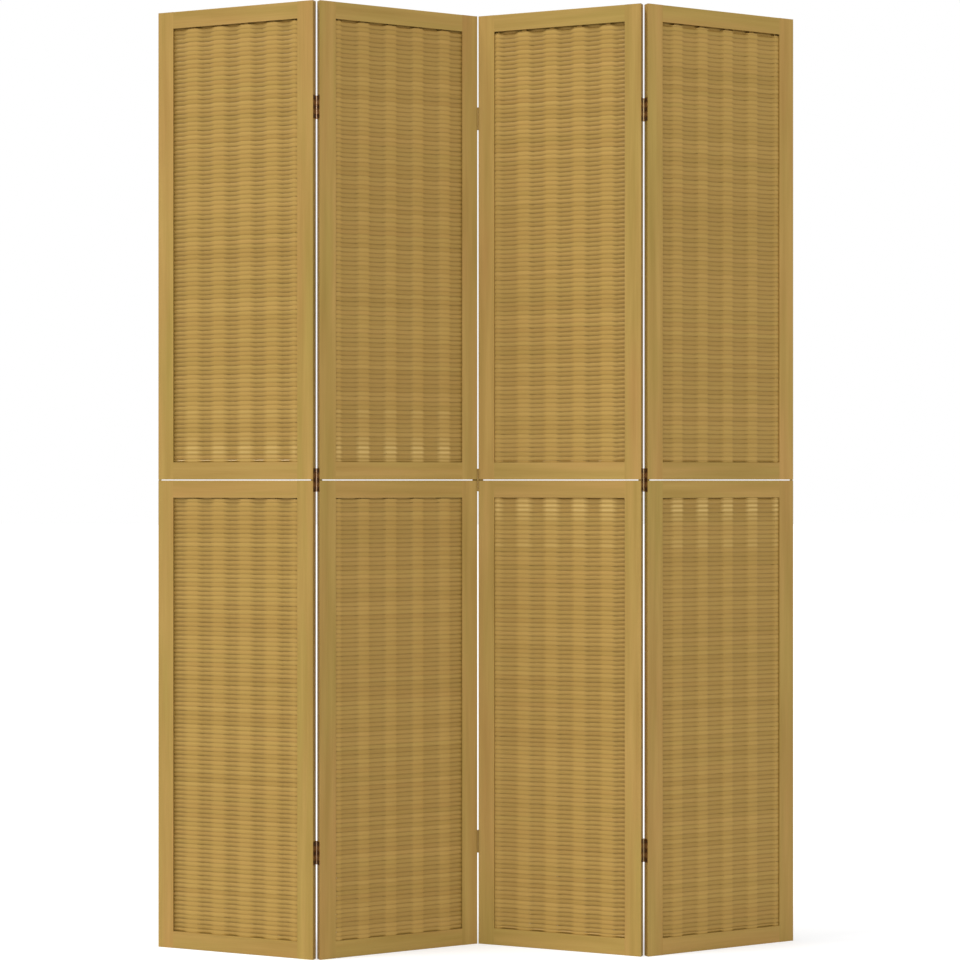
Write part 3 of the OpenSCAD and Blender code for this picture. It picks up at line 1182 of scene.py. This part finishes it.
@dataclass
class Studio:
    """Camera, lamps, floor and surroundings.

    Attributes:
        camera_place: Where the camera stands, at half the screen's height.
        camera_turn: How far the camera is turned from the row's depth axis, towards the right.
        lens: Focal length on a 36 mm frame.
        surround: Strength of the even light from all round.
        floor_size: Half the width of the floor.
        floor_drop: How far the floor lies below the screen's feet.
        floor_grey: How much light the floor gives back.
        floor_glow: Light that the floor adds for the eye, so that it looks white.
    """

    camera_place: tuple[float, float, float] = (-0.18838, -4.17855, 0.9)
    camera_turn: float = math.radians(2.6)
    lens: float = 81.94
    surround: float = 0.52
    floor_size: float = 40.0
    floor_drop: float = 0.0002
    floor_grey: float = 0.55
    floor_glow: float = 0.6

    def build(self) -> None:
        """Sets up everything round the screen."""
        self.add_camera()
        self.add_world()
        self.add_floor()
        self.add_sun("front_light", azimuth=0, elevation=12, strength=0.98, softness=40)
        self.add_sun("side_light", azimuth=-79, elevation=60, strength=2.0, softness=16)
        bpy.context.scene.view_settings.view_transform = "Standard"

    def add_camera(self) -> None:
        """Creates the camera and makes it the scene's."""
        data = bpy.data.cameras.new("camera")
        data.lens = self.lens
        camera = in_scene("camera", data)
        camera.location = self.camera_place
        camera.rotation_euler = (math.pi / 2, 0, -self.camera_turn)
        bpy.context.scene.camera = camera

    def add_world(self) -> None:
        """Makes the surroundings white to the eye and in reflections, and an even grey light otherwise."""
        world = bpy.data.worlds.new("surroundings")
        world.use_nodes = True
        nodes = Nodes(world.node_tree)
        strength = nodes.spread(self.seen(nodes), self.surround, 1.0)
        light = nodes.add("ShaderNodeBackground", {"Color": WHITE, "Strength": strength})
        nodes.add("ShaderNodeOutputWorld", {"Surface": light.outputs[0]})
        bpy.context.scene.world = world

    @staticmethod
    def seen(nodes: Nodes) -> Socket:
        """Finds the rays that the eye or a glossy or clear surface sees by.

        Args:
            nodes: The tree.

        Returns:
            The socket of a value that is 1 for such rays.
        """
        path = nodes.add("ShaderNodeLightPath").outputs
        either = nodes.math("MAXIMUM", path["Is Camera Ray"], path["Is Glossy Ray"])
        return nodes.math("MAXIMUM", either, path["Is Transmission Ray"])

    def add_floor(self) -> None:
        """Lays a wide white floor that keeps the screen's soft shadow."""
        paint, nodes = new_material("floor_paint")
        grey = opaque((self.floor_grey,) * 3)
        matt = nodes.add("ShaderNodeBsdfDiffuse", {"Color": grey}).outputs[0]
        glow = nodes.add("ShaderNodeEmission", {"Color": WHITE, "Strength": self.floor_glow}).outputs[0]
        both = nodes.add("ShaderNodeAddShader", {0: matt, 1: glow}).outputs[0]
        shown = nodes.add("ShaderNodeMixShader", {0: self.seen(nodes), 1: matt, 2: both})
        nodes.add("ShaderNodeOutputMaterial", {"Surface": shown.outputs[0]})
        mesh = bmesh.new()
        bmesh.ops.create_grid(mesh, x_segments=1, y_segments=1, size=self.floor_size)
        bmesh.ops.translate(mesh, vec=(0, 0, -self.floor_drop), verts=mesh.verts[:])
        floor = solid("floor", mesh, paint)

    def add_sun(self, name: str, azimuth: float, elevation: float, strength: float, softness: float) -> None:
        """Adds a distant soft lamp.

        Args:
            name: The lamp's name.
            azimuth: Its side, in degrees from straight in front, with the left negative.
            elevation: Its height in degrees.
            strength: Its strength.
            softness: Its apparent width in degrees.
        """
        data = bpy.data.lights.new(name, "SUN")
        data.energy = strength
        data.angle = math.radians(softness)
        lamp = in_scene(name, data)
        lamp.rotation_euler = (math.radians(90 - elevation), 0, math.radians(azimuth))


def main() -> None:
    """Builds the screen around its frame."""
    logging.basicConfig(level=logging.INFO, format="%(message)s")
    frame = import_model()
    sizes = ScreenSizes()
    panels = sizes.panels(frame["joints"])
    Studio().build()
    grain = GrainGroup()
    Frames(frame["nodes"], grain).build(panels)
    Fittings(frame["nodes"], frame["joints"]).build()
    Weave(sizes, grain).build(panels)


if __name__ == "__main__":
    main()
